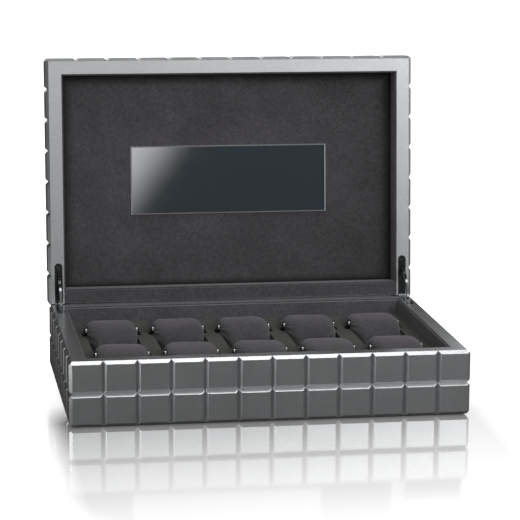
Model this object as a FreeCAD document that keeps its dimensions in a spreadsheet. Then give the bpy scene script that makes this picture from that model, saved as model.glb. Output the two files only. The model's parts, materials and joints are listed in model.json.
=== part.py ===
"""Watch box with a tiled lacquer carcass, suede lining and a lid that stands open.

Millimetres, +Z up. The origin is the middle of the underside of the base.
The lid pieces are drawn shut and then turned open about the hinge axis.
"""
import FreeCAD, Part
import math
import os
import re

# Driving dimensions: millimetres, degrees, or a count of tiles or columns.
SIZES = {
    "overall_width": 360,
    "overall_depth": 240,
    "base_wood_height": 59,
    "lid_height": 30,
    "lid_top_thickness": 8,
    "wall_thickness": 15,
    "floor_thickness": 6,
    "felt_thickness": 1,
    "felt_setback": 2,
    "closing_gap": 0.4,
    "lid_open_angle": 95,
    # Tile grid cut into the outside
    "tile_columns": 12,
    "tiles_deep": 8,
    "base_tile_rows": 2,
    "groove_depth": 2.8,
    # Suede lining and the mirror
    "liner_thickness": 1.5,
    "liner_drop": 1.5,
    "lid_pad_thickness": 2.5,
    "strip_thickness": 0.8,
    "strip_setback": 0.8,
    "mirror_width": 194,
    "mirror_height": 67,
    "mirror_thickness": 2,
    "mirror_bevel": 1.2,
    # Rails and cushions
    "cushion_columns": 5,
    "side_rail_width": 13.5,
    "divider_width": 16,
    "rail_below_rim": 15,
    "row_divider_thickness": 9,
    "row_divider_below_rim": 21.5,
    "notch_length": 14,
    "notch_reach": 4.2,
    "notch_drop": 14,
    "inner_strap_room": 5,
    "outer_strap_room": 14,
    "cushion_below_rim": 2,
    "cushion_crown": 6,
    "cushion_corner": 13,
    "cushion_foot_corner": 8,
    "cushion_end_narrowing": 7,
    "cushion_end_drop": 4.5,
    "cushion_end_raise": 5,
    "soft_clearance": 0.3,
    "button_radius": 4.25,
    "button_reach": 3,
    "button_dome_radius": 6,
    "button_below_rim": 12.2,
    # Quadrant hinges
    "hinge_inset": 2.2,
    "leaf_edge": 9.6,
    "leaf_width": 7.6,
    "leaf_length": 40,
    "leaf_thickness": 2,
    "recess_clearance": 0.1,
    "knuckle_radius": 2,
    "knuckle_gap": 0.15,
    "knuckle_clearance": 0.3,
    "pin_radius": 0.75,
    "pin_clearance": 0.05,
    "arm_radius": 25.5,
    "arm_width": 3,
    "arm_thickness": 2,
    "arm_clearance": 0.5,
    "arm_head_radius": 2.4,
    "arm_end_angle": 12,
    "base_mortise_depth": 28,
    "lid_mortise_depth": 21,
    "mortise_rear": 1.5,
    "screw_shank_radius": 1.1,
    "screw_head_radius": 2.4,
    "screw_head_height": 1.4,
    "screw_length": 11,
    "screw_setback": 4,
    "screw_clearance": 0.05,
    "cross_length": 2.8,
    "cross_width": 0.6,
    "cross_depth": 0.9,
}

# Levels and places that several pieces share, written in terms of the sizes.
BASE_TOP = "(felt_thickness + base_wood_height)"
LID_RIM = f"({BASE_TOP} + closing_gap)"
LID_FRAME_TOP = f"({LID_RIM} + lid_height - lid_top_thickness)"
LID_TOP = f"({LID_RIM} + lid_height)"
PAD_FACE = f"({LID_FRAME_TOP} - lid_pad_thickness)"
FLOOR_PANEL_TOP = "(felt_thickness + floor_thickness)"
FLOOR_TOP = f"({FLOOR_PANEL_TOP} + liner_thickness)"
DIVIDER_TOP = f"({BASE_TOP} - rail_below_rim)"
OUTER_X = "(overall_width / 2)"
OUTER_Y = "(overall_depth / 2)"
INNER_X = f"({OUTER_X} - wall_thickness)"
INNER_Y = f"({OUTER_Y} - wall_thickness)"
LINED_X = f"({INNER_X} - liner_thickness)"
LINED_Y = f"({INNER_Y} - liner_thickness)"
AXIS_Y = f"({OUTER_Y} - hinge_inset)"
AXIS_Z = f"({BASE_TOP} + closing_gap / 2)"
STRIP_REAR = f"({OUTER_Y} - groove_depth - strip_setback)"
COLUMN_PITCH = f"((2 * ({LINED_X} - side_rail_width) + divider_width) / cushion_columns)"
ROW_OFFSET = f"(({LINED_Y} + row_divider_thickness / 2 + inner_strap_room - outer_strap_room) / 2)"
HALF_GAP = f"(({COLUMN_PITCH} - divider_width) / 2)"
CUSHION_HALF = f"({HALF_GAP} - soft_clearance)"
OVERSHOOT = "closing_gap * 2"

# Where a cushion's shoulder section stands along its half length, and its share of the end's draw-in.
SHOULDER_PLACE = 0.62
SHOULDER_SHARE = 0.18

SIDES = {"left": -1, "right": 1}
ROWS = {"back": 1, "front": -1}

doc = FreeCAD.newDocument("watch_box")
sheet = doc.addObject("Spreadsheet::Sheet", "Sizes")
for row, (alias, number) in enumerate(SIZES.items(), start=1):
    sheet.set(f"A{row}", alias)
    sheet.set(f"B{row}", str(number))
    sheet.setAlias(f"B{row}", alias)
doc.recompute()

nodes = []


def size(alias):
    """The number in one cell of the sheet."""
    return float(sheet.get(alias))


def count(alias):
    """A whole number in one cell of the sheet."""
    return int(round(size(alias)))


def bound(text):
    """An expression in which each alias refers to its cell."""
    def cell(word):
        name = word.group()
        return "Sizes." + name if name in SIZES else name
    return re.sub(r"[a-z][a-z_]*", cell, text)


def tie(obj, bindings):
    """Bind properties of an object to the sheet."""
    for name, text in bindings.items():
        obj.setExpression(name, bound(text))
    return obj


def place(obj, x, y, z):
    """Bind the position of an object to the sheet."""
    bindings = {"Placement.Base.x": x, "Placement.Base.y": y, "Placement.Base.z": z}
    return tie(obj, bindings)


def keep(obj, label):
    """Make an object a sub-part: its label names its file."""
    obj.Label = label
    nodes.append(obj)
    return obj


def box(x, y, z, name="block"):
    """A box between two values on each axis."""
    obj = doc.addObject("Part::Box", name)
    spans = {"Length": x, "Width": y, "Height": z}
    tie(obj, {side: f"({high}) - ({low})" for side, (low, high) in spans.items()})
    return place(obj, x[0], y[0], z[0])


def rod_x(x, y, z, radius, name="rod"):
    """A cylinder along X."""
    obj = doc.addObject("Part::Cylinder", name)
    obj.Placement.Rotation = FreeCAD.Rotation(FreeCAD.Vector(0, 1, 0), 90)
    tie(obj, {"Radius": radius, "Height": f"({x[1]}) - ({x[0]})"})
    return place(obj, x[0], y, z)


def rod_z(x, y, z, radius, name="rod"):
    """A cylinder along Z."""
    obj = doc.addObject("Part::Cylinder", name)
    tie(obj, {"Radius": radius, "Height": f"({z[1]}) - ({z[0]})"})
    return place(obj, x, y, z[0])


def cone_z(x, y, z, radii, name="cone"):
    """A cone along Z, with its radius at the lower and at the upper end."""
    obj = doc.addObject("Part::Cone", name)
    tie(obj, {"Radius1": radii[0], "Radius2": radii[1], "Height": f"({z[1]}) - ({z[0]})"})
    return place(obj, x, y, z[0])


def gather(objects, name="group"):
    """Separate shapes held as one group."""
    obj = doc.addObject("Part::Compound", name)
    obj.Links = objects
    return obj


def fuse(objects, name="joined"):
    """Shapes joined into one."""
    obj = doc.addObject("Part::MultiFuse", name)
    obj.Shapes = objects
    return obj


def carve(blank, tools, name="carved"):
    """Cut each tool out of a blank in turn."""
    for tool in tools:
        cut = doc.addObject("Part::Cut", name)
        cut.Base = blank
        cut.Tool = tool
        blank = cut
    return blank


def turn_open(obj, label):
    """Stand a lid piece that is drawn shut in its open place."""
    obj.Label = label + "_shut"
    opened = gather([obj], label)
    turn = "rotation(vector(1; 0; 0); -lid_open_angle)"
    centre = f"vector(0; {AXIS_Y}; {AXIS_Z})"
    tie(opened, {"Placement": f"placement(vector(0; 0; 0); {turn}; {centre})"})
    return keep(opened, label)


# Cutters for the V-grooves: square bars laid on edge, half sunk in the face.

def v_bar(axis, x, y, z):
    """A V-groove cutter along one axis, whose centre line lies on the face."""
    obj = doc.addObject("Part::Box", "groove_bar")
    spans = {"X": x, "Y": y, "Z": z}
    low, high = spans[axis]
    side = "groove_depth * sqrt(2)"
    start = f"({low}) - {OVERSHOOT}"
    length = f"({high}) - ({low}) + 2 * {OVERSHOOT}"
    if axis == "X":
        obj.Placement.Rotation = FreeCAD.Rotation(FreeCAD.Vector(1, 0, 0), 45)
        tie(obj, {"Length": length, "Width": side, "Height": side})
        return place(obj, start, y, f"({z}) - groove_depth")
    if axis == "Y":
        obj.Placement.Rotation = FreeCAD.Rotation(FreeCAD.Vector(0, 1, 0), 45)
        tie(obj, {"Length": side, "Width": length, "Height": side})
        return place(obj, f"({x}) - groove_depth", start, z)
    obj.Placement.Rotation = FreeCAD.Rotation(FreeCAD.Vector(0, 0, 1), 45)
    tie(obj, {"Length": side, "Width": side, "Height": length})
    return place(obj, x, f"({y}) - groove_depth", start)


def tile_x(column):
    """The X of a groove line, counted from the left edge."""
    return f"(-{OUTER_X} + {column} * overall_width / tile_columns)"


def tile_y(row):
    """The Y of a groove line, counted from the front edge."""
    return f"(-{OUTER_Y} + {row} * overall_depth / tiles_deep)"


def upright_bars():
    """Upright grooves on all four faces, with the corner bevels."""
    height = ("0", LID_TOP)
    bars = []
    for face in (f"-{OUTER_Y}", OUTER_Y):
        for column in range(count("tile_columns") + 1):
            bars.append(v_bar("Z", tile_x(column), face, height))
    for face in (f"-{OUTER_X}", OUTER_X):
        for row in range(1, count("tiles_deep")):
            bars.append(v_bar("Z", face, tile_y(row), height))
    return gather(bars, "upright_bars")


def level_bars(levels):
    """Level grooves round the four faces at each height, as two groups."""
    along_x = []
    along_y = []
    for level in levels:
        for sign in ("-", ""):
            along_x.append(v_bar("X", (f"-{OUTER_X}", OUTER_X), sign + OUTER_Y, level))
            along_y.append(v_bar("Y", sign + OUTER_X, (f"-{OUTER_Y}", OUTER_Y), level))
    return [gather(along_x, "level_bars_x"), gather(along_y, "level_bars_y")]


def top_bars():
    """Grooves across the top of the lid, as two groups."""
    along_x = []
    along_y = []
    for row in range(1, count("tiles_deep")):
        along_x.append(v_bar("X", (f"-{OUTER_X}", OUTER_X), tile_y(row), LID_TOP))
    for column in range(1, count("tile_columns")):
        along_y.append(v_bar("Y", tile_x(column), (f"-{OUTER_Y}", OUTER_Y), LID_TOP))
    return [gather(along_x, "top_bars_x"), gather(along_y, "top_bars_y")]


tile_rows = count("base_tile_rows")
base_levels = [f"(felt_thickness + {row} * base_wood_height / base_tile_rows)" for row in range(tile_rows + 1)]
uprights = upright_bars()
base_bars = [uprights] + level_bars(base_levels)
lid_bars = [uprights] + level_bars([LID_RIM, LID_TOP])

# Hinges: two leaves let into the side rims, knuckles on one pin, a curved stop arm.


def leaf_levels(half):
    """Lower and upper face of a leaf."""
    return into_wood(half, rim_face(half), "leaf_thickness")


def leaf_blank(centre, levels, spare):
    """A leaf's outline, straight with one round end, grown by a clearance."""
    half_width = f"(leaf_width / 2 + {spare})"
    round_y = f"({AXIS_Y} - leaf_length + leaf_width / 2)"
    plate = box((f"{centre} - {half_width}", f"{centre} + {half_width}"), (round_y, AXIS_Y), levels)
    return [plate, rod_z(centre, round_y, levels, half_width)]


def knuckle_spans(centre):
    """The three thirds of the hinge's width, left to right."""
    edges = [f"({centre} - leaf_width / 2 + {third} * leaf_width / 3)" for third in range(4)]
    return list(zip(edges[:-1], edges[1:]))


def into_wood(half, face, distance):
    """A level range that starts at a rim's face and runs into the wood."""
    if half == "base":
        return f"({face} - {distance})", face
    return face, f"({face} + {distance})"


def rim_face(half):
    """The level of a rim."""
    return BASE_TOP if half == "base" else LID_RIM


def screw_y():
    """Where the leaf's screw stands."""
    return f"({AXIS_Y} - leaf_length + screw_setback)"


def hinge_recess(half, sign):
    """What a hinge needs cut out of a side wall."""
    centre = f"({sign} * ({OUTER_X} - leaf_edge))"
    levels = leaf_levels(half)
    face = rim_face(half)
    parts = leaf_blank(centre, levels, "recess_clearance")
    half_width = "(leaf_width / 2 + recess_clearance)"
    across = (f"{centre} - {half_width}", f"{centre} + {half_width}")
    parts.append(rod_x(across, AXIS_Y, AXIS_Z, "knuckle_radius + knuckle_clearance"))
    slot = "(arm_thickness / 2 + arm_clearance)"
    front = f"({AXIS_Y} - arm_radius - arm_head_radius - arm_clearance)"
    depth = into_wood(half, face, f"{half}_mortise_depth")
    parts.append(box((f"{centre} - {slot}", f"{centre} + {slot}"), (front, f"{AXIS_Y} - mortise_rear"), depth))
    pilot = into_wood(half, face, "(screw_length + screw_clearance)")
    parts.append(rod_z(centre, screw_y(), pilot, "screw_shank_radius + screw_clearance"))
    return fuse(parts, "hinge_recess")


def countersink(half, centre, spare):
    """A countersunk screw's form, grown by a clearance."""
    face = rim_face(half)
    shank = f"screw_shank_radius + {spare}"
    head = f"screw_head_radius + {spare}"
    radii = (shank, head) if half == "base" else (head, shank)
    return [
        cone_z(centre, screw_y(), into_wood(half, face, "screw_head_height"), radii),
        rod_z(centre, screw_y(), into_wood(half, face, "screw_length"), shank),
    ]


def hinge_leaf(half, sign):
    """One leaf with its own knuckles, an arm slot, a pin hole and a screw hole."""
    centre = f"({sign} * ({OUTER_X} - leaf_edge))"
    levels = leaf_levels(half)
    thirds = knuckle_spans(centre)
    own = [thirds[0], thirds[2]] if half == "base" else [thirds[1]]
    other = [third for third in thirds if third not in own]
    parts = leaf_blank(centre, levels, "0")
    for low, high in own:
        span = (f"{low} + knuckle_gap / 2", f"{high} - knuckle_gap / 2")
        parts.append(rod_x(span, AXIS_Y, AXIS_Z, "knuckle_radius"))
    room = [
        rod_x((f"{low} - knuckle_gap / 2", f"{high} + knuckle_gap / 2"), AXIS_Y, AXIS_Z,
              "knuckle_radius + knuckle_clearance")
        for low, high in other
    ]
    across = (f"{centre} - leaf_width", f"{centre} + leaf_width")
    pin_hole = rod_x(across, AXIS_Y, AXIS_Z, "pin_radius + pin_clearance")
    slot_x = "(arm_thickness / 2 + arm_clearance)"
    slot_y = "(arm_width / 2 + arm_clearance)"
    slot = box(
        (f"{centre} - {slot_x}", f"{centre} + {slot_x}"),
        (f"{AXIS_Y} - arm_radius - {slot_y}", f"{AXIS_Y} - arm_radius + {slot_y}"),
        (f"{levels[0]} - {OVERSHOOT}", f"{levels[1]} + {OVERSHOOT}"),
    )
    screw_hole = fuse(countersink(half, centre, "screw_clearance"))
    leaf = fuse(parts, "leaf")
    return carve(leaf, [gather(room), pin_hole, slot, screw_hole], "hinge_leaf")


def hinge_screws(half):
    """The two cross-head screws of one half of the hinges."""
    screws = []
    face = rim_face(half)
    for sign in SIDES.values():
        centre = f"({sign} * ({OUTER_X} - leaf_edge))"
        depth = into_wood(half, face, "cross_depth")
        long_x = (f"{centre} - cross_length / 2", f"{centre} + cross_length / 2")
        thin_x = (f"{centre} - cross_width / 2", f"{centre} + cross_width / 2")
        long_y = (f"{screw_y()} - cross_length / 2", f"{screw_y()} + cross_length / 2")
        thin_y = (f"{screw_y()} - cross_width / 2", f"{screw_y()} + cross_width / 2")
        cross = fuse([box(long_x, thin_y, depth), box(thin_x, long_y, depth)])
        body = fuse(countersink(half, centre, "0"))
        screws.append(carve(body, [cross], "screw"))
    return gather(screws, "hinge_screws")


def stop_arm(sign):
    """A curved arm about the hinge axis, with a round head on each end."""
    centre = f"({sign} * ({OUTER_X} - leaf_edge))"
    span = (f"{centre} - arm_thickness / 2", f"{centre} + arm_thickness / 2")
    first = -size("arm_end_angle")
    last = size("lid_open_angle") + size("arm_end_angle")

    def spoke(angle):
        turn = math.radians(angle)
        return FreeCAD.Vector(0, -math.cos(turn), math.sin(turn))

    outward = FreeCAD.Vector(-1, 0, 0)
    sector = doc.addObject("Part::Cylinder", "arm_sector")
    sector.Placement.Rotation = FreeCAD.Rotation(spoke(first), spoke(first + 90), outward, "ZXY")
    sweep = "lid_open_angle + 2 * arm_end_angle"
    tie(sector, {"Radius": "arm_radius + arm_width / 2", "Height": "arm_thickness", "Angle": sweep})
    place(sector, span[1], AXIS_Y, AXIS_Z)
    hub = rod_x((f"{span[0]} - {OVERSHOOT}", f"{span[1]} + {OVERSHOOT}"), AXIS_Y, AXIS_Z,
                "arm_radius - arm_width / 2")
    parts = [carve(sector, [hub], "arm_curve")]
    for angle in (first, last):
        forward = f"{math.cos(math.radians(angle))} * arm_radius"
        upward = f"{math.sin(math.radians(angle))} * arm_radius"
        parts.append(rod_x(span, f"{AXIS_Y} - {forward}", f"{AXIS_Z} + {upward}", "arm_head_radius"))
    return fuse(parts, "stop_arm")


def hinge_pins():
    """The two pins that the knuckles turn on."""
    pins = []
    for sign in SIDES.values():
        centre = f"({sign} * ({OUTER_X} - leaf_edge))"
        span = (f"{centre} - leaf_width / 2", f"{centre} + leaf_width / 2")
        pins.append(rod_x(span, AXIS_Y, AXIS_Z, "pin_radius"))
    return gather(pins, "hinge_pins")


# Carcass walls: the side walls run through, the front and rear walls stand between them.

def wall_spans(wall):
    """The plan of one wall, as its X and its Y range."""
    across = (f"-{INNER_X}", INNER_X)
    along = (f"-{OUTER_Y}", OUTER_Y)
    plans = {
        "front": (across, (f"-{OUTER_Y}", f"-{INNER_Y}")),
        "rear": (across, (INNER_Y, OUTER_Y)),
        "left": ((f"-{OUTER_X}", f"-{INNER_X}"), along),
        "right": ((INNER_X, OUTER_X), along),
    }
    return plans[wall]


def rim_strip(half):
    """The suede strip on a rear rim, flush with the lacquer."""
    levels = into_wood(half, rim_face(half), "strip_thickness")
    return box((f"-{INNER_X}", INNER_X), (INNER_Y, STRIP_REAR), levels, "rim_strip")


def carcass_wall(half, wall, levels, bars):
    """One grooved wall, with the recesses for what is let into it."""
    across, along = wall_spans(wall)
    tools = list(bars)
    if wall in SIDES:
        tools.append(hinge_recess(half, SIDES[wall]))
    if wall == "rear":
        tools.append(rim_strip(half))
    return carve(box(across, along, levels), tools, "grooved_wall")


for wall in ("front", "rear", "left", "right"):
    standing = carcass_wall("base", wall, ("felt_thickness", BASE_TOP), base_bars)
    keep(standing, f"base_{wall}_wall")
    hanging = carcass_wall("lid", wall, (LID_RIM, LID_FRAME_TOP), lid_bars)
    turn_open(hanging, f"lid_{wall}_wall")

felt_x = f"({OUTER_X} - groove_depth - felt_setback)"
felt_y = f"({OUTER_Y} - groove_depth - felt_setback)"
felt = box((f"-{felt_x}", felt_x), (f"-{felt_y}", felt_y), ("0", "felt_thickness"))
keep(felt, "base_felt")
inside_x = (f"-{INNER_X}", INNER_X)
inside_y = (f"-{INNER_Y}", INNER_Y)
keep(box(inside_x, inside_y, ("felt_thickness", FLOOR_PANEL_TOP)), "base_floor_panel")

top_blank = box((f"-{OUTER_X}", OUTER_X), (f"-{OUTER_Y}", OUTER_Y), (LID_FRAME_TOP, LID_TOP))
turn_open(carve(top_blank, lid_bars + top_bars(), "top_panel"), "lid_top_panel")

# Suede lining: boards on the four walls, the floor, the lid and the rear rims.

lined_x = (f"-{LINED_X}", LINED_X)
lined_y = (f"-{LINED_Y}", LINED_Y)
keep(box(lined_x, lined_y, (FLOOR_PANEL_TOP, FLOOR_TOP)), "base_floor_liner")
liner_plans = {
    "front": (inside_x, (f"-{INNER_Y}", f"-{LINED_Y}")),
    "rear": (inside_x, (LINED_Y, INNER_Y)),
    "left": ((f"-{INNER_X}", f"-{LINED_X}"), lined_y),
    "right": ((LINED_X, INNER_X), lined_y),
}
for wall, (across, along) in liner_plans.items():
    keep(box(across, along, (FLOOR_PANEL_TOP, f"{BASE_TOP} - liner_drop")), f"base_liner_{wall}")
    turn_open(box(across, along, (f"{LID_RIM} + liner_drop", PAD_FACE)), f"lid_liner_{wall}")
turn_open(box(inside_x, inside_y, (PAD_FACE, LID_FRAME_TOP)), "lid_pad")
keep(rim_strip("base"), "base_rear_rim_strip")
turn_open(rim_strip("lid"), "lid_rear_rim_strip")

mirror = doc.addObject("Part::Wedge", "mirror")
mirror.Placement.Rotation = FreeCAD.Rotation(FreeCAD.Vector(1, 0, 0), -90)
tie(mirror, {
    "Xmin": "-mirror_width / 2",
    "Xmax": "mirror_width / 2",
    "X2min": "-mirror_width / 2 + mirror_bevel",
    "X2max": "mirror_width / 2 - mirror_bevel",
    "Zmin": "-mirror_height / 2",
    "Zmax": "mirror_height / 2",
    "Z2min": "-mirror_height / 2 + mirror_bevel",
    "Z2max": "mirror_height / 2 - mirror_bevel",
    "Ymin": "0",
    "Ymax": "mirror_thickness",
})
place(mirror, "0", "0", PAD_FACE)
turn_open(mirror, "mirror_plate")

# Rails between the columns, half rails at the sides, short dividers between the rows.

columns = count("cushion_columns")
column_centres = [f"(({column} - (cushion_columns - 1) / 2) * {COLUMN_PITCH})" for column in range(columns)]


def notches(edges):
    """Cutters for the notches in a rail's edges, one in each row of cushions."""
    tools = []
    for low, high in edges:
        for row_sign in ROWS.values():
            middle = f"({row_sign} * {ROW_OFFSET})"
            along = (f"{middle} - notch_length / 2", f"{middle} + notch_length / 2")
            depth = (f"{DIVIDER_TOP} - notch_drop", f"{DIVIDER_TOP} + {OVERSHOOT}")
            tools.append(box((low, high), along, depth))
    return gather(tools, "notches")


def rail(low, high, edges, label):
    """A rail that runs from the front liner to the rear liner."""
    blank = box((low, high), lined_y, (FLOOR_TOP, DIVIDER_TOP))
    keep(carve(blank, [notches(edges)], "rail"), label)


for number in range(1, columns):
    middle = f"({column_centres[number]} - {COLUMN_PITCH} / 2)"
    left = f"({middle} - divider_width / 2)"
    right = f"({middle} + divider_width / 2)"
    left_notch = (f"{left} - {OVERSHOOT}", f"{left} + notch_reach")
    right_notch = (f"{right} - notch_reach", f"{right} + {OVERSHOOT}")
    rail(left, right, [left_notch, right_notch], f"divider_{number}")

end_left = f"({column_centres[0]} - {HALF_GAP})"
rail(f"-{LINED_X}", end_left, [(f"{end_left} - notch_reach", f"{end_left} + {OVERSHOOT}")], "side_rail_left")
end_right = f"({column_centres[-1]} + {HALF_GAP})"
rail(end_right, LINED_X, [(f"{end_right} - {OVERSHOOT}", f"{end_right} + notch_reach")], "side_rail_right")

row_dividers = []
for centre in column_centres:
    across = (f"{centre} - {HALF_GAP}", f"{centre} + {HALF_GAP}")
    along = ("-row_divider_thickness / 2", "row_divider_thickness / 2")
    row_dividers.append(box(across, along, (FLOOR_TOP, f"{BASE_TOP} - row_divider_below_rim")))
keep(gather(row_dividers), "row_dividers")

# Cushions: a loft of crowned sections, drawn in towards the gathered ends.


def lined_half(overall):
    """Half of the space between two facing liners."""
    return size(overall) / 2 - size("wall_thickness") - size("liner_thickness")


def cushion_length():
    """A cushion's length between its two rails."""
    between = 2 * (lined_half("overall_width") - size("side_rail_width"))
    rails = (size("cushion_columns") - 1) * size("divider_width")
    return (between - rails) / size("cushion_columns") - 2 * size("soft_clearance")


def cushion_depth():
    """A cushion's depth, with strap room in front of it and behind it."""
    room = size("inner_strap_room") + size("outer_strap_room")
    return lined_half("overall_depth") - size("row_divider_thickness") / 2 - room


def cushion_height():
    """A cushion's height, from the floor's lining to a little below the rim."""
    lost = size("floor_thickness") + size("liner_thickness") + size("soft_clearance")
    return size("base_wood_height") - size("cushion_below_rim") - lost


def cushion_section(x, narrowing, drop, lift):
    """A closed section across a cushion: flat foot, upright sides, crowned top."""
    half = cushion_depth() / 2 - narrowing
    foot = size("cushion_foot_corner")
    corner = size("cushion_corner")
    top = cushion_height() - drop
    shoulder = top - size("cushion_crown")

    def point(y, z):
        return FreeCAD.Vector(x, y, z)

    def corner_arc(centre_y, centre_z, radius, start, end):
        turns = [math.radians(angle) for angle in (start, (start + end) / 2, end)]
        return Part.Arc(*[point(centre_y + radius * math.cos(turn), centre_z + radius * math.sin(turn))
                          for turn in turns])

    edges = [
        Part.LineSegment(point(foot - half, lift), point(half - foot, lift)),
        corner_arc(half - foot, lift + foot, foot, -90, 0),
        Part.LineSegment(point(half, lift + foot), point(half, shoulder - corner)),
        corner_arc(half - corner, shoulder - corner, corner, 0, 90),
        Part.Arc(point(half - corner, shoulder), point(0, top), point(corner - half, shoulder)),
        corner_arc(corner - half, shoulder - corner, corner, 90, 180),
        Part.LineSegment(point(-half, shoulder - corner), point(-half, lift + foot)),
        corner_arc(foot - half, lift + foot, foot, 180, 270),
    ]
    return Part.Wire([edge.toShape() for edge in edges])


def cushion_solid():
    """The cushion about its own middle, standing on its foot."""
    half = cushion_length() / 2
    wires = []
    for reach, share in ((-1, 1), (-SHOULDER_PLACE, SHOULDER_SHARE), (0, 0),
                         (SHOULDER_PLACE, SHOULDER_SHARE), (1, 1)):
        wires.append(cushion_section(
            reach * half,
            share * size("cushion_end_narrowing"),
            share * size("cushion_end_drop"),
            share * size("cushion_end_raise"),
        ))
    return Part.makeLoft(wires, True)


def button(centre, row_sign, end_sign):
    """A domed button on one end of a cushion."""
    face = f"({centre} + {end_sign} * {CUSHION_HALF})"
    reach = f"({face} + {end_sign} * button_reach)"
    span = (face, reach) if end_sign > 0 else (reach, face)
    y = f"({row_sign} * {ROW_OFFSET})"
    z = f"({BASE_TOP} - button_below_rim)"
    barrel = rod_x(span, y, z, "button_radius")
    dome = doc.addObject("Part::Sphere", "dome")
    tie(dome, {"Radius": "button_dome_radius"})
    place(dome, f"{reach} - {end_sign} * button_dome_radius", y, z)
    common = doc.addObject("Part::Common", "button")
    common.Base = barrel
    common.Tool = dome
    return common


loft = cushion_solid()
for row_name, row_sign in ROWS.items():
    for number, centre in enumerate(column_centres, start=1):
        cushion = doc.addObject("Part::Feature", "cushion")
        cushion.Shape = loft
        place(cushion, centre, f"{row_sign} * {ROW_OFFSET}", f"{FLOOR_TOP} + soft_clearance")
        keep(cushion, f"cushion_{row_name}_{number}")
        pair = gather([button(centre, row_sign, -1), button(centre, row_sign, 1)])
        keep(pair, f"buttons_{row_name}_{number}")

for side, sign in SIDES.items():
    keep(hinge_leaf("base", sign), f"hinge_base_leaf_{side}")
    turn_open(hinge_leaf("lid", sign), f"hinge_lid_leaf_{side}")
    keep(stop_arm(sign), f"stop_arm_{side}")
keep(hinge_pins(), "hinge_pins")
keep(hinge_screws("base"), "hinge_base_screws")
turn_open(hinge_screws("lid"), "hinge_lid_screws")

doc.recompute()

# Every object has to be sound before any file is written.

for obj in doc.Objects:
    if "Invalid" in obj.State or "Error" in obj.State:
        raise RuntimeError(f"{obj.Label} failed: {obj.State}")
for node in nodes:
    if node.Shape.isNull() or not node.Shape.isValid() or not node.Shape.Solids:
        raise RuntimeError(f"{node.Label} has no valid solid")

os.makedirs("parts", exist_ok=True)
for node in nodes:
    solids = node.Shape.Solids
    shape = solids[0] if len(solids) == 1 else Part.makeCompound(solids)
    shape.exportStep(os.path.join("parts", node.Label + ".step"))
print(f"{len(nodes)} nodes, {sum(len(node.Shape.Solids) for node in nodes)} solids")
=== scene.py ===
import json
import math

import bpy
from mathutils import Matrix, Vector, noise


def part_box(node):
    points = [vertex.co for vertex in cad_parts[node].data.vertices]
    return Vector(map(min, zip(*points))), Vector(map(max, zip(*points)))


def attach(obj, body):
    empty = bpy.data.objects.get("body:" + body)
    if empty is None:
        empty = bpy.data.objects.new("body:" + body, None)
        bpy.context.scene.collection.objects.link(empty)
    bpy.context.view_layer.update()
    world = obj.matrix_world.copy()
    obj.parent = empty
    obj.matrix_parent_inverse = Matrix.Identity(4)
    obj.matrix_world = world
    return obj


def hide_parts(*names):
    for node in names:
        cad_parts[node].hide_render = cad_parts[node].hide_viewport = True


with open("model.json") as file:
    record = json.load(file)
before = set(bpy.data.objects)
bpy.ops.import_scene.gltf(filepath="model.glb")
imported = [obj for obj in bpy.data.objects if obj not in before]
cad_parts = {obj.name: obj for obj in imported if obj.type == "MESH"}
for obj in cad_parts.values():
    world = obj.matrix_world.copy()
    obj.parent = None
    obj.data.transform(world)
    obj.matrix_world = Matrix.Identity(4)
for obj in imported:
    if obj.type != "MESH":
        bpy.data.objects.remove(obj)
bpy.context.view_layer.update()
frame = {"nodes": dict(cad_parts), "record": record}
nodes = frame["nodes"]
MM = 0.001

# The open lid's own axes, at rest

LID_OPEN = 95.0
LID_LEAN = math.radians(LID_OPEN)
LID_ACROSS = Vector((1, 0, 0))
LID_UP = Vector((0, -math.cos(LID_LEAN), math.sin(LID_LEAN)))
LID_FACE = Vector((0, -math.sin(LID_LEAN), -math.cos(LID_LEAN)))

# Camera, from a fit of the groove crossings: place, turn and focal length

CAMERA_PLACE = Vector((-331.0, -2042.2, 530.1)) * MM
CAMERA_AZIMUTH = math.radians(-9.4108)
CAMERA_ELEVATION = math.radians(11.1259)
CAMERA_ROLL = math.radians(0.4834)
CAMERA_LENS = 157.378
CAMERA_SENSOR = 36.0
CAMERA_FAR = 50.0


def add_camera():
    """The photograph's viewpoint, as a long lens."""
    data = bpy.data.cameras.new("camera")
    data.sensor_fit = "HORIZONTAL"
    data.sensor_width = CAMERA_SENSOR
    data.lens = CAMERA_LENS
    data.clip_end = CAMERA_FAR
    camera = bpy.data.objects.new("camera", data)
    bpy.context.collection.objects.link(camera)
    flat = math.cos(CAMERA_ELEVATION)
    back_x = math.sin(CAMERA_AZIMUTH) * flat
    back_y = -math.cos(CAMERA_AZIMUTH) * flat
    back = Vector((back_x, back_y, math.sin(CAMERA_ELEVATION)))
    right = (-back).cross(Vector((0, 0, 1))).normalized()
    up = right.cross(-back)
    turned_right = right * math.cos(CAMERA_ROLL) + up * math.sin(CAMERA_ROLL)
    turned_up = up * math.cos(CAMERA_ROLL) - right * math.sin(CAMERA_ROLL)
    turn = Matrix((turned_right, turned_up, back)).transposed()
    camera.matrix_world = Matrix.Translation(CAMERA_PLACE) @ turn.to_4x4()
    bpy.context.scene.camera = camera


add_camera()

# Material helpers

MIX_FACTOR = 0
MIX_FIRST = 6
MIX_SECOND = 7
MIX_RESULT = 2


def socket_name(name):
    """A socket's label from a keyword."""
    return name.replace("_", " ").title().replace("Ior", "IOR")


def greys(low, high):
    """A pair of neutral tones."""
    return (low, low, low), (high, high, high)


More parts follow.
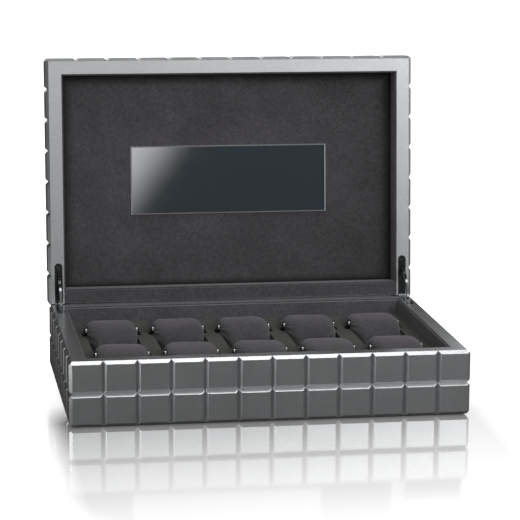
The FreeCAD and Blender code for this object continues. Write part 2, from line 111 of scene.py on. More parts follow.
class Nodes:
    """A small builder for one node tree."""

    def __init__(self, tree):
        self.tree = tree

    def add(self, kind, **settings):
        node = self.tree.nodes.new(kind)
        for name, value in settings.items():
            setattr(node, name, value)
        return node

    def link(self, out, into):
        self.tree.links.new(out, into)

    def closure(self, kind, **values):
        """A shader node with some of its sockets set."""
        node = self.add(kind)
        for name, value in values.items():
            node.inputs[socket_name(name)].default_value = value
        return node

    def span(self, value, low, high, start=0.0, end=1.0):
        """A value's run from start to end, mapped onto low to high."""
        node = self.add("ShaderNodeMapRange")
        node.inputs["From Min"].default_value = start
        node.inputs["From Max"].default_value = end
        node.inputs["To Min"].default_value = low
        node.inputs["To Max"].default_value = high
        self.link(value, node.inputs["Value"])
        return node.outputs["Result"]

    def calc(self, operation, first, second=None):
        """One step of arithmetic; the second value may be a number."""
        node = self.add("ShaderNodeMath", operation=operation)
        self.link(first, node.inputs[0])
        if isinstance(second, float):
            node.inputs[1].default_value = second
        elif second:
            self.link(second, node.inputs[1])
        return node.outputs[0]

    def blend(self, share, first, second):
        """A mix of two shaders."""
        node = self.add("ShaderNodeMixShader")
        for socket, out in zip(node.inputs, (share, first, second)):
            self.link(out, socket)
        return node.outputs[0]


class Shader(Nodes):
    """A small builder for one material."""

    def __init__(self, name):
        self.material = bpy.data.materials.new(name)
        self.material.use_nodes = True
        super().__init__(self.material.node_tree)
        self.surface = self.tree.nodes["Principled BSDF"]
        self.final = self.tree.nodes["Material Output"].inputs["Surface"]
        coords = self.add("ShaderNodeTexCoord")
        self.place = coords.outputs["Object"]
        self.normal = coords.outputs["Normal"]

    def set(self, **values):
        """Plain values on the surface's own sockets."""
        for name, value in values.items():
            self.surface.inputs[socket_name(name)].default_value = value

    def feed(self, **outs):
        """Links into the surface's sockets."""
        for name, out in outs.items():
            self.link(out, self.surface.inputs[socket_name(name)])

    def stretched(self, scale):
        mapping = self.add("ShaderNodeMapping")
        mapping.inputs["Scale"].default_value = scale
        self.link(self.place, mapping.inputs["Vector"])
        return mapping.outputs["Vector"]

    def noise(self, scale, detail=3.0, rough=0.55, vector=None):
        tex = self.add("ShaderNodeTexNoise")
        tex.inputs["Scale"].default_value = scale
        tex.inputs["Detail"].default_value = detail
        tex.inputs["Roughness"].default_value = rough
        self.link(vector or self.place, tex.inputs["Vector"])
        return tex.outputs["Fac"]

    def flakes(self, scale):
        tex = self.add("ShaderNodeTexVoronoi")
        tex.inputs["Scale"].default_value = scale
        self.link(self.place, tex.inputs["Vector"])
        return tex

    def ramp(self, value, span, tones):
        """A blend from one tone to another as a value crosses a span."""
        node = self.add("ShaderNodeValToRGB")
        for element, position, tone in zip(node.color_ramp.elements, span, tones):
            element.position = position
            element.color = (*tone, 1)
        self.link(value, node.inputs["Fac"])
        return node.outputs["Color"]

    def multiply(self, first, second):
        """One colour times another."""
        node = self.add("ShaderNodeMix", data_type="RGBA", blend_type="MULTIPLY")
        node.inputs[MIX_FACTOR].default_value = 1.0
        self.link(first, node.inputs[MIX_FIRST])
        self.link(second, node.inputs[MIX_SECOND])
        return node.outputs[MIX_RESULT]

    def bump(self, height, strength, distance, before=None):
        node = self.add("ShaderNodeBump")
        node.inputs["Strength"].default_value = strength
        node.inputs["Distance"].default_value = distance
        self.link(height, node.inputs["Height"])
        if before:
            self.link(before, node.inputs["Normal"])
        return node.outputs["Normal"]


# Materials: each pair of tones runs from dark to pale.

LACQUER_TONES = (0.319, 0.327, 0.333), (0.429, 0.437, 0.446)
LINING_TONES = (0.036, 0.0340, 0.0365), (0.069, 0.0660, 0.0701)
LID_TONES = (0.030, 0.0283, 0.0304), (0.060, 0.0572, 0.0608)
# Painted light: paler tones for the rear liner's copy of the lining suede.
REAR_PAINTED_LIGHT_TONES = (0.045, 0.0425, 0.0456), (0.088, 0.0842, 0.0894)
CUSHION_TONES = (0.0275, 0.0260, 0.0279), (0.053, 0.0507, 0.0538)
RAIL_TONES = (0.031, 0.0301, 0.0265), (0.046, 0.045, 0.0400)
MIRROR_TONES = (0.44, 0.445, 0.45), (0.47, 0.475, 0.48)
GROUND_TONES = (0.34, 0.36, 0.37), (0.46, 0.48, 0.49)
FELT_TONES = (0.018, 0.018, 0.02), (0.05, 0.05, 0.053)
BOARD_TONES = (0.26, 0.19, 0.13), (0.38, 0.29, 0.2)
BUTTON_COLOUR = (0.22, 0.22, 0.23)
HINGE_COLOUR = (0.12, 0.124, 0.128)
SHEEN_COLOUR = (0.62, 0.59, 0.62, 1)
FULL_SPAN = (0.0, 1.0)
WIDE_SPAN = (0.15, 0.85)
HAZE_SPAN = (0.2, 0.8)
FIBRE_SPAN = (0.3, 0.75)
NOISE_SPAN = (0.3, 0.7)
HAZE_SHARE = 0.9
HAZE_ROUGH = 0.08
GROUND_START = 0.90
GROUND_END = 0.97
TOP_EDGE_START = 0.25
TOP_EDGE_END = 0.45
TOP_EDGE_SHARE = 0.25
# The pad's points hold painted shade under this name.
PAD_PAINTED_SHADE = "pad_painted_shade"


def lacquer_material():
    """Metallic grey lacquer: fine flakes under a clear satin coat, with slight orange peel."""
    s = Shader("grey_metallic_lacquer")
    flakes = s.flakes(scale=2600.0)
    tone = s.ramp(flakes.outputs["Color"], FULL_SPAN, LACQUER_TONES)
    cloud = s.ramp(s.noise(scale=9.0, detail=4.0), NOISE_SPAN, greys(0.93, 1.0))
    rough = s.span(s.noise(scale=60.0, detail=4.0), low=0.27, high=0.35)
    peel = s.bump(s.noise(scale=420.0, detail=2.0), strength=0.05, distance=0.0004)
    relief = s.bump(flakes.outputs["Distance"], strength=0.05, distance=0.0002, before=peel)
    s.feed(base_color=s.multiply(tone, cloud), roughness=rough, normal=relief)
    s.set(metallic=0.9, coat_weight=0.25, coat_roughness=0.12)
    return s.material


def suede_material(name, tones, painted_edge_shade=False):
    """Dark suede: short nap with brushed patches and a fine mottle, soft at the edges. On the lid's pad it
    carries painted shade, read from the pad's points.
    """
    s = Shader(name)
    patches = s.noise(scale=20.0, detail=5.0, rough=0.62)
    mottle = s.noise(scale=310.0, detail=4.0, rough=0.75)
    nap = s.noise(scale=1900.0, detail=3.0, rough=0.6)
    toned = s.ramp(patches, WIDE_SPAN, tones)
    toned = s.multiply(toned, s.ramp(mottle, NOISE_SPAN, greys(0.66, 1.28)))
    toned = s.multiply(toned, s.ramp(nap, NOISE_SPAN, greys(0.72, 1.22)))
    # Painted shade: the pad's points darken this suede along its edges and towards the right.
    if painted_edge_shade:
        shade = s.add("ShaderNodeAttribute", attribute_name=PAD_PAINTED_SHADE)
        toned = s.multiply(toned, shade.outputs["Color"])
    coarse = s.bump(mottle, strength=0.15, distance=0.0005)
    s.feed(base_color=toned, normal=s.bump(nap, strength=0.35, distance=0.0004, before=coarse))
    s.set(roughness=0.95, specular_ior_level=0.15)
    s.set(sheen_weight=0.2, sheen_roughness=0.55, sheen_tint=SHEEN_COLOUR)
    return s.material


def rail_material():
    """Smooth olive grey velour on the rails."""
    s = Shader("olive_grey_velour")
    tone = s.ramp(s.noise(scale=40.0, detail=4.0), NOISE_SPAN, RAIL_TONES)
    weave = s.noise(scale=1800.0, detail=2.0)
    fine = s.ramp(weave, NOISE_SPAN, greys(0.85, 1.1))
    s.feed(base_color=s.multiply(tone, fine), normal=s.bump(weave, strength=0.2, distance=0.0003))
    s.set(roughness=0.8, specular_ior_level=0.12, sheen_weight=0.06, sheen_roughness=0.5)
    return s.material


def chrome_material(name, colour, rough):
    """Polished metal with faint scratches and handling marks."""
    s = Shader(name)
    haze = s.noise(scale=180.0, detail=4.0)
    dulled = tuple(channel * HAZE_SHARE for channel in colour)
    scratch = s.noise(scale=900.0, detail=2.0, rough=0.5, vector=s.stretched((0.15, 1.0, 1.0)))
    s.feed(base_color=s.ramp(haze, HAZE_SPAN, (dulled, colour)),
           roughness=s.span(haze, low=rough, high=rough + HAZE_ROUGH),
           normal=s.bump(scratch, strength=0.04, distance=0.0002))
    s.set(metallic=1.0)
    return s.material


def mirror_material():
    """Smoked mirror glass, almost without haze, with a pale ground edge that is weaker on top."""
    s = Shader("smoked_mirror")
    s.feed(base_color=s.ramp(s.noise(scale=14.0), NOISE_SPAN, MIRROR_TONES),
           roughness=s.span(s.noise(scale=90.0), low=0.03, high=0.06))
    s.set(metallic=1.0)
    ground = s.closure("ShaderNodeBsdfPrincipled", roughness=0.35)
    grain = s.ramp(s.noise(scale=700.0), NOISE_SPAN, GROUND_TONES)
    s.link(grain, ground.inputs["Base Color"])
    facing = s.add("ShaderNodeVectorMath", operation="DOT_PRODUCT")
    facing.inputs[1].default_value = LID_FACE
    s.link(s.normal, facing.inputs[0])
    edge = s.span(facing.outputs["Value"], low=1.0, high=0.0, start=GROUND_START, end=GROUND_END)
    split = s.add("ShaderNodeSeparateXYZ")
    s.link(s.normal, split.inputs[0])
    top = s.span(split.outputs["Z"], low=1.0, high=TOP_EDGE_SHARE, start=TOP_EDGE_START, end=TOP_EDGE_END)
    share = s.calc("MULTIPLY", edge, top)
    s.link(s.blend(share, s.surface.outputs[0], ground.outputs[0]), s.final)
    return s.material


def felt_material():
    """Black felt with loose fibres."""
    s = Shader("black_felt")
    fibre = s.noise(scale=1500.0, detail=4.0, rough=0.7)
    s.feed(base_color=s.ramp(fibre, FIBRE_SPAN, FELT_TONES),
           normal=s.bump(fibre, strength=0.5, distance=0.0006))
    s.set(roughness=0.97, sheen_weight=0.3)
    return s.material


def board_material():
    """Raw fibre board, out of sight under the lining."""
    s = Shader("fibre_board")
    s.feed(base_color=s.ramp(s.noise(scale=500.0, detail=4.0), NOISE_SPAN, BOARD_TONES))
    s.set(roughness=0.85)
    return s.material


MATERIALS = {
    "lacquer": lacquer_material(),
    "suede": suede_material("lining_suede", LINING_TONES),
    "rail": rail_material(),
    "felt": felt_material(),
    "board": board_material(),
    "mirror": mirror_material(),
    "button_chrome": chrome_material("button_chrome", BUTTON_COLOUR, rough=0.14),
    "hinge_chrome": chrome_material("hinge_chrome", HINGE_COLOUR, rough=0.08),
}
# The lid's suede carries the pad's painted shade.
LID_SUEDE_PAINTED_SHADE = suede_material("lid_suede_painted_shade", LID_TONES, painted_edge_shade=True)
REAR_SUEDE_PAINTED_LIGHT = suede_material("rear_suede_painted_light", REAR_PAINTED_LIGHT_TONES)
CUSHION_SUEDE = suede_material("cushion_suede", CUSHION_TONES)

# The CAD pieces: a material by slot, and softened edges in millimetres

SOFT_EDGES = {"lacquer": 0.8, "rail": 0.8, "hinge_chrome": 0.18}
SOFT_SEGMENTS = 3
SOFT_ANGLE = math.radians(28)


def paint(obj, material):
    """One material on every slot of an object."""
    if not obj.material_slots:
        obj.data.materials.append(material)
    for slot in obj.material_slots:
        slot.material = material


def soften(obj, width):
    """Round an object's sharp edges a little, as lacquer and cloth do."""
    bevel = obj.modifiers.new("soft_edges", "BEVEL")
    bevel.width = width * MM
    bevel.segments = SOFT_SEGMENTS
    bevel.limit_method = "ANGLE"
    bevel.angle_limit = SOFT_ANGLE
    bevel.harden_normals = True


for part in frame["record"]["subparts"]:
    obj = nodes[part["node"]]
    slot = part["material_slot"]
    paint(obj, MATERIALS[slot])
    if slot in SOFT_EDGES:
        soften(obj, SOFT_EDGES[slot])

# Painted light: the rear liner wears a paler copy of the lining suede.
paint(nodes["base_liner_rear"], REAR_SUEDE_PAINTED_LIGHT)

# Cushions: a stuffed pillow with a crown, gathered into a button at each end.

COLUMNS = 5
ROW_SEEDS = {"back": 0, "front": 11}
RINGS = 44
CAP_RINGS = 10
SPOKES = 104
ARCH = 0.03
SHOULDER = 0.64
CAP_GIRTH = 0.08
END_GIRTH = 0.40
END_POWER = 1.6
START_SHARE = 0.93
CROWN_ROUND = 2.4
FOOT_ROUND = 3.4
PLEATS = 26
PLEAT_DEPTH = 0.55 * MM
PLEAT_START = 0.55
PLEAT_REACH = 18 * MM
PLEAT_WANDER = 0.9
PLEAT_SCALE = 2
DIMPLE_RADIUS = 7.0 * MM
DIMPLE_DEPTH = 1.6 * MM
CREASE = 0.5 * MM
CREASE_SCALE = 42
CREASE_SHIFT = 7.3
CREASE_FRACTAL = (1.0, 2.1, 3)
SWELL_Y = 0.04
SWELL_Z = 0.024
STUFFING_FRAMES = 14
STUFFING_LIMIT = 1.2 * MM
COVER_SETTINGS = {
    "quality": 5,
    "mass": 0.02,
    "tension_stiffness": 10,
    "compression_stiffness": 10,
    "shear_stiffness": 4,
    "bending_stiffness": 0.05,
    "use_pressure": True,
    "uniform_pressure_force": 4,
}


def superellipse(turn, power):
    """A unit superellipse point at an angle."""
    c = math.cos(turn)
    s = math.sin(turn)
    return (math.copysign(abs(c) ** (2 / power), c), math.copysign(abs(s) ** (2 / power), s))


def cushion_profile():
    """Place along the half length and girth, from one end to the other: rounded, gathered ends."""
    cap = [(-1.0, CAP_GIRTH + (END_GIRTH - CAP_GIRTH) * step / CAP_RINGS) for step in range(CAP_RINGS)]
    body = []
    for step in range(RINGS + 1):
        place = -math.cos(math.pi * step / RINGS)
        arch = 1 - ARCH * place * place
        fall = max(0, abs(place) - SHOULDER) / (1 - SHOULDER)
        girth = END_GIRTH + (arch - END_GIRTH) * (1 - fall ** END_POWER) ** (1 / END_POWER)
        body.append((place, girth))
    return cap + body + [(-place, girth) for place, girth in reversed(cap)]


def cushion_points(low, high, button):
    """Points ring by ring, from the left end to the right end of one cushion."""
    half = (high - low) / 2
    half.y *= START_SHARE
    half.z *= START_SHARE
    centre = (low + high) / 2
    points = []
    for along, girth in cushion_profile():
        pull = (1 - girth) * (button.z - centre.z)
        for spoke in range(SPOKES):
            power = CROWN_ROUND if 2 * spoke < SPOKES else FOOT_ROUND
            across, upward = superellipse(2 * math.pi * spoke / SPOKES, power)
            rise = upward * half.z * girth + pull
            points.append(centre + Vector((along * half.x, across * half.y * girth, rise)))
    return points


def cushion_faces(ring_count):
    """Quads between neighbouring rings, with both ends closed."""
    faces = []
    for ring in range(ring_count - 1):
        for spoke in range(SPOKES):
            a = ring * SPOKES + spoke
            b = ring * SPOKES + (spoke + 1) % SPOKES
            faces.append((a, b, b + SPOKES, a + SPOKES))
    last = (ring_count - 1) * SPOKES
    faces.append(tuple(reversed(range(SPOKES))))
    faces.append(tuple(last + spoke for spoke in range(SPOKES)))
    return faces


def add_mesh(name, points, faces):
    """A smooth mesh object from points and faces."""
    mesh = bpy.data.meshes.new(name)
    mesh.from_pydata([tuple(p) for p in points], [], faces)
    mesh.update()
    obj = bpy.data.objects.new(name, mesh)
    bpy.context.collection.objects.link(obj)
    for polygon in mesh.polygons:
        polygon.use_smooth = True
    return obj


def dress_cushion(point, low, high, button, seed):
    """Pleats, a dimple under each button and soft creases, moved in code."""
    centre = (low + high) / 2
    half_x = (high.x - low.x) / 2
    side = math.copysign(1, point.x - centre.x)
    reach = abs(point.x - centre.x) / half_x
    offset = Vector((0, point.y - button.y, point.z - button.z))
    radius = offset.length
    angle = math.atan2(offset.z, offset.y)
    moved = point.copy()
    if reach > PLEAT_START:
        wander = PLEAT_WANDER * noise.noise(Vector((angle * PLEAT_SCALE, seed, side)))
        ripple = math.cos(PLEATS * angle + seed + wander)
        strength = (reach - PLEAT_START) / (1 - PLEAT_START) * min(1, radius / PLEAT_REACH)
        moved.x += side * ripple * PLEAT_DEPTH * strength
        dimple = max(0, 1 - radius / DIMPLE_RADIUS)
        moved.x -= side * DIMPLE_DEPTH * dimple * dimple
    swell = noise.fractal(point * CREASE_SCALE + Vector((seed * CREASE_SHIFT, 0, 0)), *CREASE_FRACTAL)
    outward = Vector((0, (point.y - centre.y) / SWELL_Y, (point.z - centre.z) / SWELL_Z))
    if outward.length > 0:
        moved += outward.normalized() * swell * CREASE
    moved.x = min(max(moved.x, low.x), high.x)
    moved.y = min(max(moved.y, low.y), high.y)
    moved.z = min(max(moved.z, low.z), high.z)
    return moved


def cushion_place(row, number):
    """A cushion's box and the middle of its buttons."""
    low, high = (Vector(corner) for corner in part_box(f"cushion_{row}_{number}"))
    ends = [Vector(corner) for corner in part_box(f"buttons_{row}_{number}")]
    return low, high, (ends[0] + ends[1]) / 2


def stuffing_moves(points, faces):
    """How far each point moves when the cover is blown up from inside, by cloth simulation."""
    trial = add_mesh("stuffing_trial", points, faces)
    cloth = trial.modifiers.new("cover", "CLOTH")
    for name, value in COVER_SETTINGS.items():
        setattr(cloth.settings, name, value)
    cloth.settings.effector_weights.gravity = 0
    cloth.point_cache.frame_start = 1
    cloth.point_cache.frame_end = STUFFING_FRAMES
    scene = bpy.context.scene
    for moment in range(1, STUFFING_FRAMES + 1):
        scene.frame_set(moment)
    blown = trial.evaluated_get(bpy.context.evaluated_depsgraph_get())
    moves = []
    for point, vertex in zip(points, blown.data.vertices):
        move = vertex.co - point
        if move.length > STUFFING_LIMIT:
            move *= STUFFING_LIMIT / move.length
        moves.append(move)
    scene.frame_set(1)
    bpy.data.objects.remove(trial)
    return moves


def add_cushion(row, number, faces, moves):
    """One cushion in its CAD solid's place."""
    node = f"cushion_{row}_{number}"
    low, high, button = cushion_place(row, number)
    seed = number + ROW_SEEDS[row]
    points = cushion_points(low, high, button)
    dressed = [dress_cushion(p + move, low, high, button, seed) for p, move in zip(points, moves)]
    obj = add_mesh(f"{node}_cloth", dressed, faces)
    paint(obj, CUSHION_SUEDE)
    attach(obj, node)
    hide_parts(node)


def add_cushions():
    """Both rows; one cover is blown up, and all of them share its moves."""
    pattern = cushion_points(*cushion_place("back", 3))
    faces = cushion_faces(len(pattern) // SPOKES)
    moves = stuffing_moves(pattern, faces)
    for row in ROW_SEEDS:
        for number in range(1, COLUMNS + 1):
            add_cushion(row, number, faces, moves)


add_cushions()

# The lid's pad: a padded suede panel with rolled edges, a little uneven.
# It carries painted shade along its edges and towards the right.

PAD_STEPS_X = 110
PAD_STEPS_Y = 72
PAD_ROLL = 2.2 * MM
PAD_EDGE_SHARE = 0.25
PAD_WAVE = 0.18 * MM
PAD_WAVE_SCALE = 30
PAD_WAVE_FRACTAL = (1.0, 2.0, 3)
# Painted shade on the pad: the tone at its edges, the band's width, the narrower band at its foot, and the
# darkening towards the right.
PAD_PAINTED_EDGE_TONE = 0.12
PAD_PAINTED_EDGE_WIDTH = 13 * MM
PAD_PAINTED_FOOT_RISE = 1.6
PAD_PAINTED_RIGHT_SHADE = 0.24


def pad_extent():
    """The CAD pad's half width, its foot and head up the lid, its back and its thickness."""
    solid = nodes["lid_pad"]
    corners = [solid.matrix_world @ v.co for v in solid.data.vertices]
    half_x = max(c.dot(LID_ACROSS) for c in corners)
    ups = [c.dot(LID_UP) for c in corners]
    outs = [c.dot(LID_FACE) for c in corners]
    return half_x, min(ups), max(ups), min(outs), max(outs) - min(outs)


def pad_front(half_x, foot, head, back, thick):
    """A grid of points on the pad's front, row by row."""
    points = []
    for row in range(PAD_STEPS_Y + 1):
        up = foot + (head - foot) * row / PAD_STEPS_Y
        for step in range(PAD_STEPS_X + 1):
            x = -half_x + 2 * half_x * step / PAD_STEPS_X
            edge = min(half_x - abs(x), up - foot, head - up)
            roll = math.sqrt(max(0, 1 - (1 - min(1, edge / PAD_ROLL)) ** 2))
            wave = PAD_WAVE * (noise.fractal(Vector((x, up, 0)) * PAD_WAVE_SCALE, *PAD_WAVE_FRACTAL) - 1)
            height = back + (thick + wave) * (PAD_EDGE_SHARE + (1 - PAD_EDGE_SHARE) * roll)
            points.append(LID_ACROSS * x + LID_UP * up + LID_FACE * min(height, back + thick))
    return points


def pad_border(wide):
    """The grid's outer points, once around."""
    border = list(range(wide))
    border += [row * wide + PAD_STEPS_X for row in range(1, PAD_STEPS_Y + 1)]
    border += [PAD_STEPS_Y * wide + step for step in reversed(range(PAD_STEPS_X))]
    border += [row * wide for row in reversed(range(1, PAD_STEPS_Y))]
    return border


def paint_pad_shade(pad, half_x, foot, head):
    """Painted shade on the pad's points, for its material: darker in a band along the edges, a narrower band
    at the foot, and darker towards the right.
    """
    shade = pad.data.color_attributes.new(PAD_PAINTED_SHADE, "FLOAT_COLOR", "POINT")
    for vertex, entry in zip(pad.data.vertices, shade.data):
        x = vertex.co.dot(LID_ACROSS)
        up = vertex.co.dot(LID_UP)
        edge = min(half_x - abs(x), head - up, PAD_PAINTED_FOOT_RISE * (up - foot))
        tone = PAD_PAINTED_EDGE_TONE + (1 - PAD_PAINTED_EDGE_TONE) * min(1, max(0, edge) / PAD_PAINTED_EDGE_WIDTH)
        tone *= 1 - PAD_PAINTED_RIGHT_SHADE * max(0, x / half_x)
        entry.color = (tone, tone, tone, 1)


def add_lid_pad():
    """The pad in its CAD solid's place, along the open lid's own axes."""
    half_x, foot, head, back, thick = pad_extent()
    points = pad_front(half_x, foot, head, back, thick)
    wide = PAD_STEPS_X + 1
    faces = []
    for row in range(PAD_STEPS_Y):
        for step in range(PAD_STEPS_X):
            a = row * wide + step
            faces.append((a, a + 1, a + wide + 1, a + wide))
    border = pad_border(wide)
    start = len(points)
    for index in border:
        points.append(points[index] - LID_FACE * (points[index].dot(LID_FACE) - back))
    total = len(border)
    for k in range(total):
        n = (k + 1) % total
        faces.append((border[n], border[k], start + k, start + n))
    faces.append(tuple(start + k for k in reversed(range(total))))
    pad = add_mesh("lid_pad_cloth", points, faces)
    paint_pad_shade(pad, half_x, foot, head)
    paint(pad, LID_SUEDE_PAINTED_SHADE)
    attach(pad, "lid")
    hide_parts("lid_pad")


add_lid_pad()

# The lining along the hinge line: a fold on the base that both rims turn about, and two edges on the lid

HINGE_AXIS = Vector((0, 117.8, 60.2)) * MM
FOLD_LEAN = math.radians(45)
FOLD_RADIUS = 0.42 * MM
FOLD_FOOT = 0.55 * MM
FOLD_TOE = 0.25 * MM
FOLD_HALF = 160.0 * MM
FOLD_SIDES = 12
TUCK_LEAN = math.radians(135 - LID_OPEN)
TUCK_NEAR = 0.46 * MM
TUCK_HALF = 0.45 * MM
EDGE_THICK = 0.15 * MM
EDGE_REACH = 0.85 * MM
EDGE_GAP = 0.07 * MM


def add_bar(name, section, half, body):
    """A suede bar along X from a closed section of (y, z) points."""
    points = [Vector((x, y, z)) for x in (-half, half) for y, z in section]
    sides = len(section)
    faces = [(k, (k + 1) % sides, sides + (k + 1) % sides, sides + k) for k in range(sides)]
    faces.append(tuple(reversed(range(sides))))
    faces.append(tuple(range(sides, 2 * sides)))
    bar = add_mesh(name, points, faces)
    paint(bar, MATERIALS["suede"])
    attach(bar, body)


def around_axis(lean, steps):
    """Points (y, z) about the hinge axis, from (along, out) steps; out leans up from level rearward."""
    out_y = math.cos(lean)
    out_z = math.sin(lean)
    points = []
    for along, out in steps:
        y = HINGE_AXIS.y + along * out_z + out * out_y
        z = HINGE_AXIS.z - along * out_y + out * out_z
        points.append((y, z))
    return points


def add_lining():
    """The fold on the hinge axis, and the lid lining's tuck and edge above and behind it."""
    turns = [math.pi * side / FOLD_SIDES for side in range(FOLD_SIDES + 1)]
    fold = [(FOLD_RADIUS * math.cos(a), FOLD_RADIUS * math.sin(a)) for a in turns]
    fold += [(-FOLD_TOE, -FOLD_FOOT), (FOLD_RADIUS, -FOLD_FOOT)]
    add_bar("lining_fold", around_axis(FOLD_LEAN, fold), FOLD_HALF, "base")
    tuck = [(TUCK_HALF, TUCK_NEAR), (TUCK_HALF, FOLD_FOOT), (-TUCK_HALF, FOLD_FOOT), (-TUCK_HALF, TUCK_NEAR)]
    add_bar("lining_tuck", around_axis(TUCK_LEAN, tuck), FOLD_HALF, "lid")
    low, high = (Vector(corner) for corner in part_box("lid_rear_rim_strip"))
    rear = low.y - EDGE_GAP
    front = rear - EDGE_THICK
    foot = low.z - EDGE_REACH
    edge = [(front, low.z), (front, foot), (rear, foot), (rear, low.z)]
    add_bar("lining_edge", edge, high.x, "lid")


add_lining()

# Floor: white gloss, greyer near the box. The part's reflections see it dark, except behind and at the left.

FLOOR_HALF = 6.0
FLOOR_GAP = 0.02 * MM
FLOOR_LIT = (0.82, 0.82, 0.82, 1)
FLOOR_SEEN = (0.48, 0.48, 0.48, 1)
GLOW_CENTRE = (0.07, -0.22, 0)
GLOW_START = 0.28
GLOW_END = 0.47
GLOW_NEAR = 0.58
GLOW_FAR = 1.4
MIRRORED = 0.06
MIRRORED_REAR = 0.5
REAR_START = 0.30
REAR_END = 0.50
MIRRORED_LEFT = 0.7
LEFT_START = -0.38
LEFT_END = -0.28
GLOSS = 0.84
GLOSS_ROUGH = 0.06
GLOSS_FALL = 1.3
GLOSS_FRONT = -0.50
GLOSS_BOX = -0.12
GLOSS_HALF = 0.182
GLOSS_HALF_END = 0.205
GLOSS_BEHIND = -0.10
GLOSS_BEHIND_END = -0.04


def floor_glow(s):
    """The light that the camera sees in the floor, weaker near the box."""
    distance = s.add("ShaderNodeVectorMath", operation="DISTANCE")
    distance.inputs[1].default_value = GLOW_CENTRE
    s.link(s.place, distance.inputs[0])
    spread = s.span(distance.outputs["Value"], low=GLOW_NEAR, high=GLOW_FAR, start=GLOW_START, end=GLOW_END)
    glow = s.add("ShaderNodeEmission")
    s.link(spread, glow.inputs["Strength"])
    return glow.outputs[0]


def floor_gloss_share(s, x, y):
    """How much the floor mirrors: most at the box's front, less towards the camera, none beside the box."""
    nearness = s.span(y, low=0.0, high=1.0, start=GLOSS_FRONT, end=GLOSS_BOX)
    fade = s.span(s.calc("POWER", nearness, GLOSS_FALL), low=0.0, high=GLOSS)
    beside = s.span(s.calc("ABSOLUTE", x), low=1.0, high=0.0, start=GLOSS_HALF, end=GLOSS_HALF_END)
    behind = s.span(y, low=1.0, high=0.0, start=GLOSS_BEHIND, end=GLOSS_BEHIND_END)
    return s.calc("MULTIPLY", fade, s.calc("MULTIPLY", beside, behind))


def floor_material():
    """One floor for the camera, one for reflections and one for all other light."""
    s = Shader("white_floor")
    s.tree.nodes.remove(s.surface)
    split = s.add("ShaderNodeSeparateXYZ")
    s.link(s.place, split.inputs[0])
    x = split.outputs["X"]
    y = split.outputs["Y"]
    lit = s.add("ShaderNodeAddShader")
    s.link(s.closure("ShaderNodeBsdfDiffuse", color=FLOOR_SEEN).outputs[0], lit.inputs[0])
    s.link(floor_glow(s), lit.inputs[1])
    gloss = s.closure("ShaderNodeBsdfGlossy", roughness=GLOSS_ROUGH)
    seen = s.blend(floor_gloss_share(s, x, y), lit.outputs[0], gloss.outputs[0])
    rear = s.span(y, low=MIRRORED, high=MIRRORED_REAR, start=REAR_START, end=REAR_END)
    left = s.span(x, low=MIRRORED_LEFT, high=MIRRORED, start=LEFT_START, end=LEFT_END)
    mirrored = s.add("ShaderNodeBsdfDiffuse")
    s.link(s.calc("MAXIMUM", rear, left), mirrored.inputs["Color"])
    white = s.closure("ShaderNodeBsdfDiffuse", color=FLOOR_LIT)
    path = s.add("ShaderNodeLightPath")
    lighting = s.blend(path.outputs["Is Glossy Ray"], white.outputs[0], mirrored.outputs[0])
    s.link(s.blend(path.outputs["Is Camera Ray"], lighting, seen), s.final)
    return s.material


def add_floor():
    """A floor that keeps the shadow and a reflection that fades towards the camera."""
    mesh = bpy.data.meshes.new("floor")
    corners = [(-1, -1), (1, -1), (1, 1), (-1, 1)]
    mesh.from_pydata([(x * FLOOR_HALF, y * FLOOR_HALF, -FLOOR_GAP) for x, y in corners], [], [(0, 1, 2, 3)])
    floor = bpy.data.objects.new("floor", mesh)
    bpy.context.collection.objects.link(floor)
    floor.data.materials.append(floor_material())


add_floor()

# Backdrop light, lamps, and cards that only reflections see

WORLD_LIGHT = 0.45
WORLD_WHITE = 1.0


def add_world():
    """White for the camera and for reflections, a plain even light for the rest."""
    world = bpy.data.worlds.new("world")
    bpy.context.scene.world = world
    world.use_nodes = True
    n = Nodes(world.node_tree)
    background = n.tree.nodes["Background"]
    background.inputs["Color"].default_value = (1, 1, 1, 1)
    path = n.add("ShaderNodeLightPath")
    seen = n.calc("MAXIMUM", path.outputs["Is Camera Ray"], path.outputs["Is Glossy Ray"])
    seen = n.calc("MAXIMUM", seen, path.outputs["Is Transmission Ray"])
    n.link(n.span(seen, low=WORLD_LIGHT, high=WORLD_WHITE), background.inputs["Strength"])


def add_softbox(name, place, target, width, height, watts, mirrored=False):
    """A rectangular soft lamp that looks at a target, and that reflections show or not."""
    data = bpy.data.lights.new(name, "AREA")
    data.shape = "RECTANGLE"
    data.size = width
    data.size_y = height
    data.energy = watts
    lamp = bpy.data.objects.new(name, data)
    bpy.context.collection.objects.link(lamp)
    lamp.location = place
    lamp.rotation_euler = (Vector(target) - Vector(place)).to_track_quat("-Z", "Y").to_euler()
    lamp.visible_glossy = mirrored


def card_shader(name, place, edges, tilt, turn):
    """A card from its left, right, low and high edges; gives its material's builder and its glow."""
    left, right, low, high = edges
    mesh = bpy.data.meshes.new(name)
    mesh.from_pydata([(left, 0, low), (right, 0, low), (right, 0, high), (left, 0, high)], [], [(0, 1, 2, 3)])
    card = bpy.data.objects.new(name, mesh)
    bpy.context.collection.objects.link(card)
    card.location = place
    card.rotation_euler = (math.radians(tilt), 0, math.radians(turn))
    card.visible_camera = False
    card.visible_diffuse = False
    card.visible_shadow = False
    s = Shader(name)
    s.tree.nodes.remove(s.surface)
    glow = s.add("ShaderNodeEmission")
    s.link(glow.outputs[0], s.final)
    card.data.materials.append(s.material)
    return s, glow


def add_card(name, place, edges, level, tilt=0, turn=0):
    """A card of one even brightness."""
    glow = card_shader(name, place, edges, tilt, turn)[1]
    glow.inputs["Strength"].default_value = level


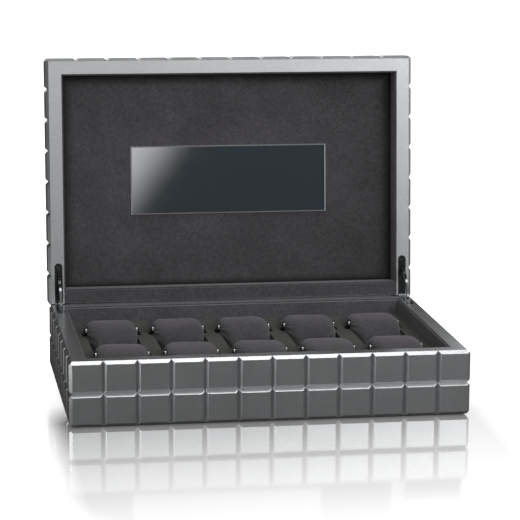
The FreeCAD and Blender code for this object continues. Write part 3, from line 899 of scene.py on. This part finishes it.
def add_shaded_card(name, place, edges, slant, start, end, tones):
    """A card shaded across its width between two tones, along a slanted line."""
    s, glow = card_shader(name, place, edges, tilt=0, turn=0)
    across = s.add("ShaderNodeVectorMath", operation="DOT_PRODUCT")
    across.inputs[1].default_value = (1, 0, -slant)
    s.link(s.place, across.inputs[0])
    fade = s.add("ShaderNodeMapRange", interpolation_type="SMOOTHSTEP", data_type="FLOAT_VECTOR")
    limits = {"From Min": (start, start, start), "From Max": (end, end, end)}
    limits.update({"To Min": tones[0], "To Max": tones[1]})
    for socket in fade.inputs:
        if socket.type == "VECTOR" and socket.name in limits:
            socket.default_value = limits[socket.name]
    s.link(across.outputs["Value"], fade.inputs["Vector"])
    s.link(fade.outputs["Vector"], glow.inputs["Color"])


add_world()
add_softbox("overhead", (0.14, -0.25, 1.5), target=(0.14, -0.25, 0.1), width=1.05, height=0.34, watts=7.5,
            mirrored=True)
add_softbox("front_key", (0.45, -1.9, 1.25), target=(0, 0, 0.1), width=1.2, height=0.8, watts=18)
add_softbox("right_key", (1.0, -0.9, 0.9), target=(0, 0, 0.1), width=0.7, height=0.7, watts=5.5)
add_softbox("right_glint", (0.95, -2.2, 0.85), target=(0, 0.1, 0.2), width=0.7, height=0.8, watts=7)
add_shaded_card("front_card", (0, -2.4, 0), edges=(0.05, 0.90, -0.05, 0.40), slant=0.74, start=-0.042,
                end=0.108, tones=((1.0, 1.0, 1.0), (0.055, 0.070, 0.078)))
add_card("right_low_card", (0, -2.42, 0), edges=(0.90, 1.8, -0.05, 0.50), level=2.0)
add_shaded_card("upper_card", (0, -2.42, 0), edges=(-0.6, 1.8, 0.42, 0.80), slant=0.0, start=0.05, end=0.95,
                tones=greys(1.6, 5.3))
add_card("low_card", (0, -2.38, 0), edges=(-0.45, 0.90, -0.05, 0.13), level=0.06)
add_card("back_right_card", (0, 0.36, 0), edges=(0.185, 0.30, 0.06, 0.23), level=0.03)
add_card("back_left_card", (0, 0.36, 0), edges=(-0.6, -0.19, 0.0, 0.4), level=0.04)
add_card("left_card", (-0.55, -0.28, 0), edges=(-0.1, 0.13, 0.0, 0.13), level=7.0, turn=90)
add_card("left_dark_card", (-0.56, 0.1, 0), edges=(-0.20, 0.22, 0.05, 0.5), level=0.18, turn=90)
add_card("right_card", (0.65, -0.28, 0), edges=(-0.4, 0.13, 0.0, 0.15), level=4.0, turn=90)
add_card("ceiling_card", (0.15, 0.36, 1.2), edges=(-0.9, 0.9, -0.34, 0.6), level=0.08, tilt=-90)

bpy.context.scene.view_settings.view_transform = "Standard"
